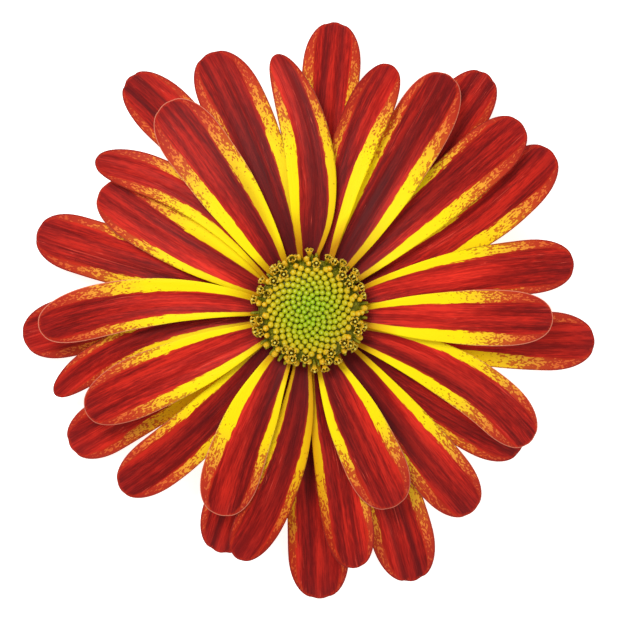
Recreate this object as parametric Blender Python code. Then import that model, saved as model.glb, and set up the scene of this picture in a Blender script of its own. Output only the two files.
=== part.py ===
"""Single chrysanthemum head, crimson with yellow margins, cut and lying face up on its stub.

Sizes are millimetres in the constants and tables, and metres in the scene.
The flower's axis is Z, its face looks up, and the low ray tips and the cut end stand on z = 0.
"""
import math

import bmesh
import bpy
from mathutils import Vector

MM = 0.001

# ray florets
BLADE_THICK = 0.70          # measured straight up, so a sloping blade keeps 0.6 mm
ROOT_RADIUS = 6.4           # where the free blade starts
ROOT_SUNK = 1.0             # length of each root inside the receptacle
ROOT_WIDTH = 0.27           # share of the full width at the root
TIP_POWER = 2.3             # roundness of the tip, 2 is an ellipse
ARCH = 0.8                  # rise of the blade along its middle
ARCH_POWER = 1.7            # how late the blade bends down
MARGIN_LIFT = 0.35          # how far the margins stand up
STATIONS = (0.0, 0.2, 0.42, 0.62, 0.78, 0.89, 0.96, 0.997)
ACROSS = (-1.0, -0.5, 0.0, 0.5, 1.0)
LOW_TIP = BLADE_THICK / 2   # a blade whose tip touches the surface
LIFT_AHEAD = 0.25           # the margins stand up this much nearer the root than the arch
ROLL_FULL = 0.25            # share of the length at which a blade has its full roll
SHIFT_FROM = 0.6            # share of the length at which a tip starts to shift aside

# One row per ray floret, measured on a face-on view, anticlockwise from +X:
# root bearing, tip bearing (degrees), reach, sideways bow, width, place of greatest width (0 to 1),
# tip shift to the side, height at the root, height at the tip, roll (degrees)
RAYS = (
    (84.0, 85.0, 38.0, 0.0, 7.6, 0.78, 0.0, 9.4, LOW_TIP, 0),
    (73.0, 71.4, 33.8, 1.4, 6.0, 0.74, 0.0, 11.9, 7.0, -6),
    (57.5, 59.7, 35.8, -0.2, 7.9, 0.74, 0.0, 11.1, 5.0, -8),
    (50.0, 53.1, 38.8, 0.0, 7.5, 0.78, 0.0, 9.3, 0.9, 0),
    (41.3, 41.6, 37.0, 0.0, 7.3, 0.78, 0.0, 10.3, 3.5, -8),
    (27.8, 33.7, 37.9, -1.8, 7.9, 0.76, 0.0, 9.5, 2.0, -4),
    (15.2, 10.1, 35.0, 0.8, 7.1, 0.78, 0.0, 11.5, 6.0, 0),
    (-6.0, -1.8, 31.7, 0.0, 7.3, 0.72, 0.0, 12.4, 8.0, 0),
    (-15.0, -6.0, 37.5, -0.7, 7.7, 0.78, 0.0, 9.4, LOW_TIP, 0),
    (-28.4, -29.6, 33.7, 1.9, 7.2, 0.76, -0.7, 11.5, 5.0, 0),
    (-38.0, -32.9, 33.0, -0.8, 7.2, 0.78, 0.0, 9.6, 1.6, 0),
    (-49.3, -50.9, 33.8, -0.2, 7.6, 0.76, 0.0, 10.6, 3.5, 0),
    (-71.9, -66.6, 27.8, 0.0, 7.9, 0.72, 0.0, 12.5, 8.5, 0),
    (-66.0, -69.0, 37.9, 1.0, 8.2, 0.78, 0.0, 9.3, LOW_TIP, 0),
    (-79.5, -79.9, 34.1, 0.0, 6.6, 0.76, 0.0, 11.0, 5.0, 0),
    (-90.0, -87.9, 37.7, 0.0, 7.9, 0.8, 0.0, 9.4, 0.6, 0),
    (-99.0, -106.6, 33.7, 2.0, 6.1, 0.76, 0.0, 11.8, 6.0, 0),
    (-122.0, -113.8, 29.1, -0.8, 7.6, 0.74, 0.0, 12.6, 8.5, 0),
    (-115.0, -110.8, 33.8, -0.3, 7.5, 0.78, 0.0, 9.5, 1.2, 0),
    (-138.0, -137.0, 34.0, 1.4, 7.1, 0.74, 0.0, 11.4, 4.5, 0),
    (-151.0, -150.4, 36.1, -0.1, 7.3, 0.8, 0.0, 9.4, LOW_TIP, 0),
    (-155.5, -156.4, 32.1, 0.0, 7.8, 0.68, 0.4, 12.3, 7.5, 0),
    (-172.6, -162.2, 35.2, -2.6, 4.7, 0.68, 0.3, 10.9, 4.5, 0),
    (175.4, 184.0, 35.4, -2.1, 6.8, 0.76, 0.0, 12.4, 7.0, 0),
    (179.0, 185.8, 37.7, -1.5, 7.8, 0.78, 0.0, 9.1, LOW_TIP, 0),
    (163.5, 163.8, 37.2, 0.2, 7.5, 0.8, 0.0, 9.9, 1.6, 0),
    (153.2, 150.0, 31.6, 0.3, 7.4, 0.74, 0.0, 10.9, 5.6, 0),
    (139.2, 145.2, 34.2, -3.1, 5.4, 0.72, 0.0, 11.7, 6.4, 0),
    (122.0, 128.2, 38.7, -1.5, 7.4, 0.78, 0.0, 9.4, LOW_TIP, 0),
    (127.0, 125.3, 33.0, -0.5, 8.2, 0.74, 0.0, 12.6, 8.2, 0),
    (110.4, 111.2, 36.2, -0.8, 8.3, 0.76, 0.3, 11.5, 5.0, 0),
    (93.5, 97.9, 33.7, -2.45, 6.4, 0.42, 0.0, 12.7, 9.0, 0),
)

# receptacle that the rays grow from: radius, height
SEAT_PROFILE = ((0.0, 8.6), (6.2, 8.6), (6.7, 9.1), (6.7, 12.5), (6.3, 13.1), (0.0, 13.1))
SEAT_SIDES = 36

# disc: a low dome set with buds in a sunflower spiral, then two rounds of open florets
DOME_BASE = 13.6
DOME_PROFILE = ((0.0, DOME_BASE), (6.2, DOME_BASE), (6.6, 14.0), (6.1, 14.65), (4.6, 15.35), (2.4, 15.85),
                (0.0, 16.0))
DOME_SIDES = 22
BUD_COUNT = 140
BUD_FIELD = 5.25            # radius of the round patch of closed buds
BUD_RINGS = ((0.25, -0.3), (0.31, 0.34), (0.0, 0.62))       # radius, height above the dome
BUD_SIDES = 5
BUD_LEAN = 5.0              # degrees outward for each millimetre from the axis
GOLDEN_ANGLE = math.pi * (3.0 - math.sqrt(5.0))
# count, radius on the dome, lean outward (degrees), turn of the whole round (degrees)
OPEN_ROUNDS = ((24, 5.75, 14.0, 1.7), (27, 6.30, 34.0, 6.1))
OPEN_RINGS = ((0.36, -0.45), (0.36, 0.52), (0.66, 1.15), (0.0, 0.92))   # a tube with a spread mouth
OPEN_SIDES = 5              # lobes of the mouth

# cup of bracts and stem: radius, height
CUP_PROFILE = ((0.0, 0.0), (2.05, 0.0), (2.2, 0.15), (2.2, 3.0), (2.6, 4.0), (4.2, 5.2), (5.7, 6.9),
               (6.1, 8.1), (5.9, 8.3), (0.0, 8.3))
CUP_WALL = CUP_PROFILE[4:8]  # the part of the profile that bears bracts
CUP_SIDES = 27
# count, start and end along the wall (0 to 1), width, stand-off at the tip, turn (degrees)
BRACT_ROUNDS = ((9, 0.03, 0.55, 2.0, 0.75, 3.1), (11, 0.22, 0.78, 2.3, 0.95, 14.7),
                (13, 0.42, 0.98, 2.35, 1.15, 7.3))
BRACT_THICK = 0.7
BRACT_BASE = -0.1           # how deep the middle of a scale lies in the wall at its base
BRACT_STATIONS = ((0.0, 0.75), (0.35, 1.0), (0.7, 0.8), (0.97, 0.25))

RAY_COLOUR = (0.36, 0.014, 0.016, 1.0)
DISC_COLOUR = (0.48, 0.42, 0.03, 1.0)
GREEN_COLOUR = (0.13, 0.24, 0.05, 1.0)


def clear_scene():
    for thing in list(bpy.data.objects):
        bpy.data.objects.remove(thing, do_unlink=True)


def new_collection(name):
    group = bpy.data.collections.new(name)
    bpy.context.scene.collection.children.link(group)
    return group


def solid(name, points, faces, group):
    """A closed body from points in millimetres, with its faces turned outward."""
    shape = bmesh.new()
    corners = [shape.verts.new([c * MM for c in point]) for point in points]
    for face in faces:
        shape.faces.new([corners[i] for i in face])
    bmesh.ops.recalc_face_normals(shape, faces=shape.faces)
    mesh = bpy.data.meshes.new(name)
    shape.to_mesh(mesh)
    shape.free()
    body = bpy.data.objects.new(name, mesh)
    group.objects.link(body)
    return body


def lathe(name, profile, sides, group):
    """Turn a profile of (radius, height) about Z; it starts and ends on the axis."""
    points, rings = [], []
    for radius, height in profile:
        if radius == 0.0:
            rings.append([len(points)] * sides)
            points.append((0.0, 0.0, height))
            continue
        rings.append([len(points) + k for k in range(sides)])
        for k in range(sides):
            turn = 2 * math.pi * k / sides
            points.append((radius * math.cos(turn), radius * math.sin(turn), height))
    faces = []
    for low, high in zip(rings, rings[1:]):
        for k in range(sides):
            n = (k + 1) % sides
            face = [low[k], low[n], high[n], high[k]]
            faces.append([c for i, c in enumerate(face) if c not in face[:i]])
    return solid(name, points, faces, group)


def blade(name, rows, step, group):
    """A blade from rows of middle points, step to either side: both faces get the same triangles."""
    across = len(rows[0])
    count = len(rows) * across
    middle = [Vector(point) for row in rows for point in row]
    points = [point + step for point in middle] + [point - step for point in middle]
    faces = []
    for i in range(len(rows) - 1):
        for k in range(across - 1):
            a, b = i * across + k, i * across + k + 1
            c, d = b + across, a + across
            pair = ((a, b, c), (a, c, d)) if k < across // 2 else ((a, b, d), (b, c, d))
            for tri in pair:
                faces.append(tri)
                faces.append([corner + count for corner in reversed(tri)])
    last = (len(rows) - 1) * across
    rim = list(range(across)) + [i * across + across - 1 for i in range(1, len(rows))]
    rim += [last + k for k in range(across - 2, -1, -1)] + [i * across for i in range(len(rows) - 2, 0, -1)]
    for a, b in zip(rim, rim[1:] + rim[:1]):
        faces.append((a, b, b + count, a + count))
    return solid(name, points, faces, group)


def fuse(base, group):
    """Join a collection of repeats to the body they grow from, then remove them."""
    union = base.modifiers.new("join", "BOOLEAN")
    union.operation = "UNION"
    union.operand_type = "COLLECTION"
    union.collection = group
    union.solver = "EXACT"
    graph = bpy.context.evaluated_depsgraph_get()
    joined = bpy.data.meshes.new_from_object(base.evaluated_get(graph))
    base.modifiers.clear()
    base.data = joined
    for thing in list(group.objects):
        bpy.data.objects.remove(thing, do_unlink=True)
    bpy.data.collections.remove(group)


def paint(body, name, colour, roughness):
    coat = bpy.data.materials.new(name)
    coat.use_nodes = True
    shader = coat.node_tree.nodes["Principled BSDF"]
    shader.inputs["Base Color"].default_value = colour
    shader.inputs["Roughness"].default_value = roughness
    shader.inputs["Metallic"].default_value = 0.0
    coat.diffuse_color = colour
    body.data.materials.clear()
    body.data.materials.append(coat)


def ray_width(t, broad):
    """Share of the full width at t along a ray floret: narrow root, broad end, round tip."""
    if t < broad:
        return ROOT_WIDTH + (1.0 - ROOT_WIDTH) * (1.0 - (1.0 - t / broad) ** 2)
    return (1.0 - ((t - broad) / (1.0 - broad)) ** TIP_POWER) ** (1.0 / TIP_POWER)


def ray_rows(ray):
    """Middle points of one ray floret, a row of points at each station along its bowed line."""
    root_deg, tip_deg, reach, bow, width, broad, shift, root_z, tip_z, roll = ray
    root, tip = math.radians(root_deg), math.radians(tip_deg)
    x0, y0 = ROOT_RADIUS * math.cos(root), ROOT_RADIUS * math.sin(root)
    x2, y2 = reach * math.cos(tip), reach * math.sin(tip)
    span = math.hypot(x2 - x0, y2 - y0)
    x1 = (x0 + x2) / 2 - (y2 - y0) / span * bow * 2
    y1 = (y0 + y2) / 2 + (x2 - x0) / span * bow * 2
    rows = []
    for t in (-ROOT_SUNK / span,) + STATIONS:
        x = (1 - t) ** 2 * x0 + 2 * t * (1 - t) * x1 + t * t * x2
        y = (1 - t) ** 2 * y0 + 2 * t * (1 - t) * y1 + t * t * y2
        along_x = (1 - t) * (x1 - x0) + t * (x2 - x1)
        along_y = (1 - t) * (y1 - y0) + t * (y2 - y1)
        size = math.hypot(along_x, along_y)
        side_x, side_y = -along_y / size, along_x / size
        aside = shift * max(0.0, (t - SHIFT_FROM) / (1 - SHIFT_FROM)) ** 2
        free = max(t, 0.0)
        half = ray_width(free, broad) * width / 2
        bend = free / STATIONS[-1]
        middle = root_z + (tip_z - root_z) * bend ** ARCH_POWER + ARCH * math.sin(math.pi * bend)
        tilt = math.tan(math.radians(roll)) * min(1.0, free / ROLL_FULL)
        lift = MARGIN_LIFT * math.sin(math.pi * min(1.0, free + LIFT_AHEAD))
        rows.append([(x + side_x * (aside + half * v), y + side_y * (aside + half * v),
                      middle + v * half * tilt + v * v * lift) for v in ACROSS])
    return rows


def build_rays(group):
    seat = lathe("ray_florets", SEAT_PROFILE, SEAT_SIDES, group)
    blades = new_collection("ray_blades")
    for number, ray in enumerate(RAYS):
        blade("ray_%02d" % number, ray_rows(ray), Vector((0.0, 0.0, BLADE_THICK / 2)), blades)
    fuse(seat, blades)
    paint(seat, "ray_crimson", RAY_COLOUR, 0.55)


def dome_height(radius):
    """Height of the dome's upper face at a radius, straight between the profile points."""
    upper = DOME_PROFILE[:1:-1]
    for (r0, z0), (r1, z1) in zip(upper, upper[1:]):
        if r0 <= radius <= r1:
            return z0 + (z1 - z0) * (radius - r0) / (r1 - r0)
    return upper[-1][1]


def stub(name, place, turn, lean, rings, sides, group):
    """A small closed body of rings (radius, height) set on the dome, leaning outward from Z."""
    x0, y0, z0 = place
    points = []
    for radius, height in rings:
        for k in range(sides if radius else 1):
            angle = 2 * math.pi * k / sides
            side, ahead = radius * math.sin(angle), radius * math.cos(angle)
            out = ahead * math.cos(lean) + height * math.sin(lean)
            up = height * math.cos(lean) - ahead * math.sin(lean)
            points.append((x0 + out * math.cos(turn) - side * math.sin(turn),
                           y0 + out * math.sin(turn) + side * math.cos(turn), z0 + up))
    faces = [list(range(sides))]
    full = sum(1 for radius, _ in rings if radius)
    for i in range(full - 1):
        for k in range(sides):
            n = (k + 1) % sides
            faces.append((i * sides + k, i * sides + n, (i + 1) * sides + n, (i + 1) * sides + k))
    top = (full - 1) * sides
    for k in range(sides):
        faces.append((top + k, top + (k + 1) % sides, full * sides))
    return solid(name, points, faces, group)


def build_disc(group):
    dome = lathe("disc_florets", DOME_PROFILE, DOME_SIDES, group)
    florets = new_collection("disc_buds")
    for i in range(BUD_COUNT):
        radius = BUD_FIELD * math.sqrt((i + 0.5) / BUD_COUNT)
        turn = i * GOLDEN_ANGLE
        lean = math.radians(BUD_LEAN * radius)
        place = (radius * math.cos(turn), radius * math.sin(turn), dome_height(radius))
        stub("bud_%03d" % i, place, turn, lean, BUD_RINGS, BUD_SIDES, florets)
    for count, radius, lean_deg, start in OPEN_ROUNDS:
        for k in range(count):
            turn = 2 * math.pi * k / count + math.radians(start)
            place = (radius * math.cos(turn), radius * math.sin(turn), dome_height(radius))
            stub("open_%02d" % k, place, turn, math.radians(lean_deg), OPEN_RINGS, OPEN_SIDES, florets)
    fuse(dome, florets)
    paint(dome, "disc_yellow", DISC_COLOUR, 0.6)


def wall_point(share):
    """Radius and height at a share of the way up the cup's wall."""
    lengths = [math.dist(a, b) for a, b in zip(CUP_WALL, CUP_WALL[1:])]
    left = share * sum(lengths)
    for (r0, z0), (r1, z1), length in zip(CUP_WALL, CUP_WALL[1:], lengths):
        if left <= length:
            break
        left -= length
    return r0 + (r1 - r0) * left / length, z0 + (z1 - z0) * left / length


def build_cup(group):
    cup = lathe("involucre_stem", CUP_PROFILE, CUP_SIDES, group)
    bracts = new_collection("bracts")
    for count, low, high, width, stand, start in BRACT_ROUNDS:
        (r0, z0), (r1, z1) = wall_point(low), wall_point(high)
        out_r, out_z = (z1 - z0) / math.dist((r0, z0), (r1, z1)), (r0 - r1) / math.dist((r0, z0), (r1, z1))
        for k in range(count):
            turn = 2 * math.pi * k / count + math.radians(start)
            rows = []
            for t, broad in BRACT_STATIONS:
                radius, height = wall_point(low + (high - low) * t)
                gap = BRACT_BASE + (stand - BRACT_BASE) * t
                radius, height = radius + out_r * gap, height + out_z * gap
                spread = width / 2 * broad / radius
                bearings = [turn + v * spread for v in (-1.0, 0.0, 1.0)]
                rows.append([(radius * math.cos(a), radius * math.sin(a), height) for a in bearings])
            step = Vector((out_r * math.cos(turn), out_r * math.sin(turn), out_z)) * BRACT_THICK / 2
            blade("bract_%02d" % k, rows, step, bracts)
    fuse(cup, bracts)
    paint(cup, "stem_green", GREEN_COLOUR, 0.6)


clear_scene()
flower = new_collection("chrysanthemum")
build_rays(flower)
build_disc(flower)
build_cup(flower)
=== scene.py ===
from collections import namedtuple
import math

import bpy
import numpy as np
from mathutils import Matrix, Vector


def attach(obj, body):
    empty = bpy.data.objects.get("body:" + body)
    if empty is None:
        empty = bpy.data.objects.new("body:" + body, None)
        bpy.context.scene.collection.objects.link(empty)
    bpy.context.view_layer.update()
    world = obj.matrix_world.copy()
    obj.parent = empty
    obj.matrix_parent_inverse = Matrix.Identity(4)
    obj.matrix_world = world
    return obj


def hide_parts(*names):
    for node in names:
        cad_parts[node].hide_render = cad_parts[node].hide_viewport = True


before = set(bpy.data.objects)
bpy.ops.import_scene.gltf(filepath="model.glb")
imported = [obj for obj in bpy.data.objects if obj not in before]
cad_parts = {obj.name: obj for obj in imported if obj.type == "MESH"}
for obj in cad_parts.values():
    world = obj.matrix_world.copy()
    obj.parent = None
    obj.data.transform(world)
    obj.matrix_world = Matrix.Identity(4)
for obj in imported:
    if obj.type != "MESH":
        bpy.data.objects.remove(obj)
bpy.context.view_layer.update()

MM = 0.001

# ray florets: the solids' law of shape, with slightly broader roots and shorter tips
ROOT_RADIUS = 6.4           # where the free blade starts
ROOT_SUNK = 1.0             # length of each root inside the receptacle
ROOT_WIDTH = 0.33           # share of the full width; 0.27 in the solids, more here to close fine slits
TIP_POWER = 2.3             # roundness of the tip, 2 is an ellipse
TIP_REACH = 0.996           # share of the reach, which keeps the tips within the solids' box
ARCH = 0.8                  # rise of the blade along its middle
ARCH_POWER = 1.7            # how late the blade bends down
MARGIN_LIFT = 0.35          # how far the margins stand up
LIFT_AHEAD = 0.25           # the margins stand up this much nearer the root than the arch
ROLL_FULL = 0.25            # share of the length at which a blade has its full roll
SHIFT_FROM = 0.6            # share of the length at which a tip starts to shift aside
SOLID_HALF = 0.35           # half thickness of the solid blade
LOW_TIP = SOLID_HALF        # height of a tip that touches the surface

# ray florets: what the solids leave out
BLADE_THICK = 0.32
EDGE_THICK = 0.10
THIN_FROM, THIN_OVER, THIN_SHARE = 0.93, 0.07, 0.6      # the blade thins over its last rows
NOTCH_ASIDE, NOTCH_WIDTH = 0.26, 0.11                   # two shallow notches in the tip
NOTCH_LEAST, NOTCH_MORE = 0.03, 0.14                    # their depth, and what a deep groove adds
FURROW_ASIDE, FURROW_WIDTH = 0.27, 0.10                 # two furrows along the blade
FURROW_LEAST, FURROW_MORE = 0.05, 0.11                  # their depth, and what a deep groove adds
FURROW_IN = 2.5                                         # they reach their depth at 1 / 2.5 of the length
WOBBLE, WOBBLE_WAVES, WOBBLE_IN = 0.06, (3, 0.25, 0.9), 5       # the margin waves sideways, less at the root
RIPPLE, RIPPLE_WAVES = 0.02, (4, 0.8, 2.4)              # height; number of waves, least and most pace
RIPPLE_ACROSS, RIPPLE_ALONG = 9, 3                      # how tightly the ripples follow each other
DEEPEST_RELIEF = 0.55                                   # share of the thickness
ALONG = 92                  # rows from root to tip
ROW_CROWDING = 1.25         # above 1, rows lie closer towards the tip
ACROSS = 33                 # columns from margin to margin
ROOT_STRETCH = 1.5          # up to here the blade's end at the root doesn't count as an edge
RAY_SEED = 100
GRAIN_STEP = 3.7            # sets the grain of each ray apart from the next one's

Ray = namedtuple("Ray", "root_deg tip_deg reach bow width broad shift root_z tip_z roll")
Margins = namedtuple("Margins", "left right left_late right_late left_brown right_brown")
Lanes = namedtuple("Lanes", "bright_side bright_run bright shade_side shade base rim groove")

# root bearing, tip bearing, reach, sideways bow, width, place of greatest width, tip shift,
# height at the root, height at the tip, roll
RAYS = {
    "a": (84.0, 85.0, 38.0, 0.0, 7.6, 0.78, 0.0, 9.4, LOW_TIP, 0),
    "b": (73.0, 71.4, 33.8, 1.4, 6.0, 0.74, 0.0, 11.9, 7.0, -6),
    "c": (57.5, 59.7, 35.8, -0.2, 7.9, 0.74, 0.0, 11.1, 5.0, -8),
    "d": (50.0, 53.1, 38.8, 0.0, 7.5, 0.78, 0.0, 9.3, 0.9, 0),
    "e": (41.3, 41.6, 37.0, 0.0, 7.3, 0.78, 0.0, 10.3, 3.5, -8),
    "f": (27.8, 33.7, 37.9, -1.8, 7.9, 0.76, 0.0, 9.5, 2.0, -4),
    "g": (15.2, 10.1, 35.0, 0.8, 7.1, 0.78, 0.0, 11.5, 6.0, 0),
    "h": (-6.0, -1.8, 31.7, 0.0, 7.3, 0.72, 0.0, 12.4, 8.0, 0),
    "i": (-15.0, -6.0, 37.5, -0.7, 7.7, 0.78, 0.0, 9.4, LOW_TIP, 0),
    "j": (-28.4, -29.6, 33.7, 1.9, 7.2, 0.76, -0.7, 11.5, 5.0, 0),
    "k": (-38.0, -32.9, 33.0, -0.8, 7.2, 0.78, 0.0, 9.6, 1.6, 0),
    "l": (-49.3, -50.9, 33.8, -0.2, 7.6, 0.76, 0.0, 10.6, 3.5, 0),
    "m": (-71.9, -66.6, 27.8, 0.0, 7.9, 0.72, 0.0, 12.5, 8.5, 0),
    "n": (-66.0, -69.0, 37.9, 1.0, 8.2, 0.78, 0.0, 9.3, LOW_TIP, 0),
    "o": (-79.5, -79.9, 34.1, 0.0, 6.6, 0.76, 0.0, 11.0, 5.0, 0),
    "p": (-90.0, -87.9, 37.7, 0.0, 7.9, 0.8, 0.0, 9.4, 0.6, 0),
    "q": (-99.0, -106.6, 33.7, 2.0, 6.1, 0.76, 0.0, 11.8, 6.0, 0),
    "r": (-122.0, -113.8, 29.1, -0.8, 7.6, 0.74, 0.0, 12.6, 8.5, 0),
    "s": (-115.0, -110.8, 33.8, -0.3, 7.5, 0.78, 0.0, 9.5, 1.2, 0),
    "t": (-138.0, -137.0, 34.0, 1.4, 7.1, 0.74, 0.0, 11.4, 4.5, 0),
    "u": (-151.0, -150.4, 36.1, -0.1, 7.3, 0.8, 0.0, 9.4, LOW_TIP, 0),
    "v": (-155.5, -156.4, 32.1, 0.0, 7.8, 0.68, 0.4, 12.3, 7.5, 0),
    "w": (-172.6, -162.2, 35.2, -2.6, 4.7, 0.68, 0.3, 10.9, 4.5, 0),
    "x": (175.4, 184.0, 35.4, -2.1, 6.8, 0.76, 0.0, 12.4, 7.0, 0),
    "y": (179.0, 185.8, 37.7, -1.5, 7.8, 0.78, 0.0, 9.1, LOW_TIP, 0),
    "z": (163.5, 163.8, 37.2, 0.2, 7.5, 0.8, 0.0, 9.9, 1.6, 0),
    "aa": (153.2, 150.0, 31.6, 0.3, 7.4, 0.74, 0.0, 10.9, 5.6, 0),
    "bb": (139.2, 145.2, 34.2, -3.1, 5.4, 0.72, 0.0, 11.7, 6.4, 0),
    "cc": (122.0, 128.2, 38.7, -1.5, 7.4, 0.78, 0.0, 9.4, LOW_TIP, 0),
    "dd": (127.0, 125.3, 33.0, -0.5, 8.2, 0.74, 0.0, 12.6, 8.2, 0),
    "ee": (110.4, 111.2, 36.2, -0.8, 8.3, 0.76, 0.3, 11.5, 5.0, 0),
    "ff": (93.5, 97.9, 33.7, -2.45, 6.4, 0.42, 0.0, 12.7, 9.0, 0),
}

# width of the yellow margin on the left and on the right of each ray, how late the left and the right
# margin redden, and painted shade that turns the left and the right margin amber-brown
MARGINS = {
    "a": (1.7, 1.5, 0.06, 0.05, 0.0, 0.0),
    "b": (1.2, 2.0, -0.10, 0.12, 0.9, 0.0),
    "c": (1.25, 1.85, 0.00, 0.02, 0.0, 0.0),
    "d": (1.3, 1.3, 0.00, 0.00, 0.0, 0.2),
    "e": (1.1, 1.7, 0.02, 0.00, 0.0, 0.0),
    "f": (2.1, 1.9, -0.03, 0.06, 0.0, 0.0),
    "g": (1.4, 1.0, 0.06, -0.02, 0.0, 0.0),
    "h": (1.55, 1.75, 0.00, 0.06, 0.0, 0.0),
    "i": (1.5, 1.85, 0.02, 0.04, 0.0, 0.0),
    "j": (1.2, 1.5, 0.06, 0.04, 0.0, 0.0),
    "k": (1.2, 1.2, 0.00, 0.04, 0.0, 0.4),
    "l": (1.4, 1.7, 0.04, 0.00, 0.0, 0.4),
    "m": (1.55, 1.3, 0.00, 0.00, 0.0, 0.0),
    "n": (1.7, 1.6, 0.02, 0.04, 0.0, 0.0),
    "o": (1.2, 1.1, 0.02, 0.04, 0.0, 0.9),
    "p": (1.2, 1.1, 0.00, 0.02, 0.6, 0.7),
    "q": (1.05, 0.9, 0.00, -0.04, 0.8, 0.5),
    "r": (1.1, 1.9, 0.02, 0.02, 0.2, 0.0),
    "s": (1.1, 0.9, 0.00, 0.00, 0.0, 0.0),
    "t": (1.35, 1.1, 0.00, 0.00, 0.0, 0.0),
    "u": (1.5, 1.2, 0.02, 0.00, 0.0, 0.0),
    "v": (1.6, 1.2, 0.00, 0.02, 0.0, 0.0),
    "w": (1.2, 0.8, 0.00, 0.00, 0.0, 0.0),
    "x": (1.15, 1.8, 0.00, 0.02, 0.0, 0.0),
    "y": (1.4, 0.8, 0.02, 0.00, 0.0, 0.0),
    "z": (1.5, 1.3, 0.00, 0.00, 0.0, 0.0),
    "aa": (1.1, 2.0, 0.02, 0.02, 0.0, 0.0),
    "bb": (1.3, 1.4, 0.02, 0.00, 0.0, 0.0),
    "cc": (1.1, 0.9, 0.00, 0.00, 0.0, 0.0),
    "dd": (1.9, 1.9, -0.02, 0.00, 0.0, 0.1),
    "ee": (1.7, 1.75, 0.00, 0.03, 0.0, 0.0),
    "ff": (1.6, 1.2, 0.08, 0.02, 0.0, 0.4),
}
# share of the margin's full width along a ray
MARGIN_RUN = ((0.0, 0.35), (0.15, 0.54), (0.25, 0.70), (0.35, 0.84), (0.5, 1.0), (0.7, 1.0),
              (0.84, 0.8), (0.94, 0.4), (1.0, 0.0))
MARGIN_FREE, MARGIN_FADE = 0.30, 0.35   # towards the tip it keeps off the middle, and fades in beyond

# lanes of painted light and painted shade on the red: the lit lane's place aside, place along and strength,
# the shaded lane's place aside and strength, reach of the painted shade at the base, painted highlight on the
# rim, depth of the two furrows and of the painted shade in them
LANES = {
    "a": (-0.35, 0.8, 0.4, 0.05, 0.5, 0.35, 0.0, 0.8),
    "b": (-0.40, 0.9, 1.0, 0.30, 0.6, 0.30, 0.0, 0.1),
    "c": (-0.45, 0.4, 0.6, 0.15, 1.0, 0.60, 0.5, 0.4),
    "d": (0.00, 0.8, 0.5, -0.40, 0.6, 0.45, 0.0, 0.9),
    "e": (-0.45, 0.4, 0.7, 0.25, 0.7, 0.30, 0.0, 0.2),
    "f": (0.30, 0.4, 0.6, 0.00, 0.2, 0.20, 0.0, 0.3),
    "g": (0.00, 0.4, 1.0, 0.50, 0.0, 0.10, 0.0, 0.1),
    "h": (0.10, 0.38, 0.9, -0.50, 0.1, 0.12, 0.8, 0.1),
    "i": (0.00, 0.8, 0.5, -0.30, 0.3, 0.30, 0.0, 0.3),
    "j": (0.45, 0.35, 0.9, -0.30, 0.5, 0.20, 0.6, 0.3),
    "k": (0.30, 0.7, 0.4, -0.30, 0.4, 0.50, 0.0, 0.4),
    "l": (0.45, 0.5, 0.9, -0.25, 1.0, 0.45, 0.2, 0.3),
    "m": (0.35, 0.4, 0.3, -0.45, 0.8, 0.35, 0.5, 0.2),
    "n": (-0.40, 0.9, 0.6, 0.05, 0.5, 0.40, 0.0, 1.0),
    "o": (0.15, 0.8, 0.2, -0.40, 0.5, 0.50, 0.0, 0.2),
    "p": (0.50, 0.65, 0.6, -0.20, 0.6, 0.50, 0.0, 0.6),
    "q": (0.15, 0.8, 0.4, 0.10, 0.9, 0.80, 0.0, 0.2),
    "r": (-0.40, 0.4, 1.0, 0.45, 0.8, 0.30, 0.7, 0.1),
    "s": (0.20, 0.95, 1.0, 0.10, 0.3, 0.30, 0.0, 1.0),
    "t": (0.00, 0.7, 0.2, -0.10, 0.8, 0.60, 0.2, 0.2),
    "u": (0.20, 0.9, 0.7, -0.10, 0.3, 0.20, 0.2, 0.6),
    "v": (0.00, 0.35, 0.8, 0.15, 0.1, 0.12, 0.5, 0.1),
    "w": (0.50, 0.85, 0.9, -0.15, 0.8, 0.40, 0.0, 0.1),
    "x": (0.10, 0.3, 0.8, 0.40, 0.1, 0.12, 0.8, 0.1),
    "y": (0.10, 0.9, 0.8, -0.20, 0.3, 0.20, 0.0, 0.2),
    "z": (0.00, 0.9, 0.3, 0.10, 0.4, 0.20, 0.0, 0.3),
    "aa": (0.45, 0.38, 1.0, -0.40, 0.7, 0.15, 0.2, 0.3),
    "bb": (0.40, 0.75, 0.8, 0.10, 0.5, 0.30, 0.0, 0.1),
    "cc": (-0.30, 0.8, 0.2, 0.20, 0.5, 0.40, 0.0, 1.0),
    "dd": (0.40, 0.4, 0.4, -0.50, 0.9, 0.25, 0.7, 0.4),
    "ee": (-0.50, 0.85, 0.4, 0.05, 1.0, 0.80, 0.0, 0.5),
    "ff": (0.30, 0.8, 1.0, -0.10, 0.9, 0.55, 0.1, 0.1),
}
# spread of the lane of painted light, across and along
PAINTED_LIGHT_WIDTH, PAINTED_LIGHT_LENGTH = 0.48, 0.32
SHADE_WIDTH = 0.50
SHADE_START, SHADE_FALL = 1.7, 1.6      # the shaded lane fades towards the tip
BASE_SHADE, BASE_START, BASE_POWER = 0.95, 1.15, 1.3
FURROW_SHADE_FROM, FURROW_SHADE_OVER = 0.45, 0.35   # where the painted shade in the furrows starts, and over what length
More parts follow.
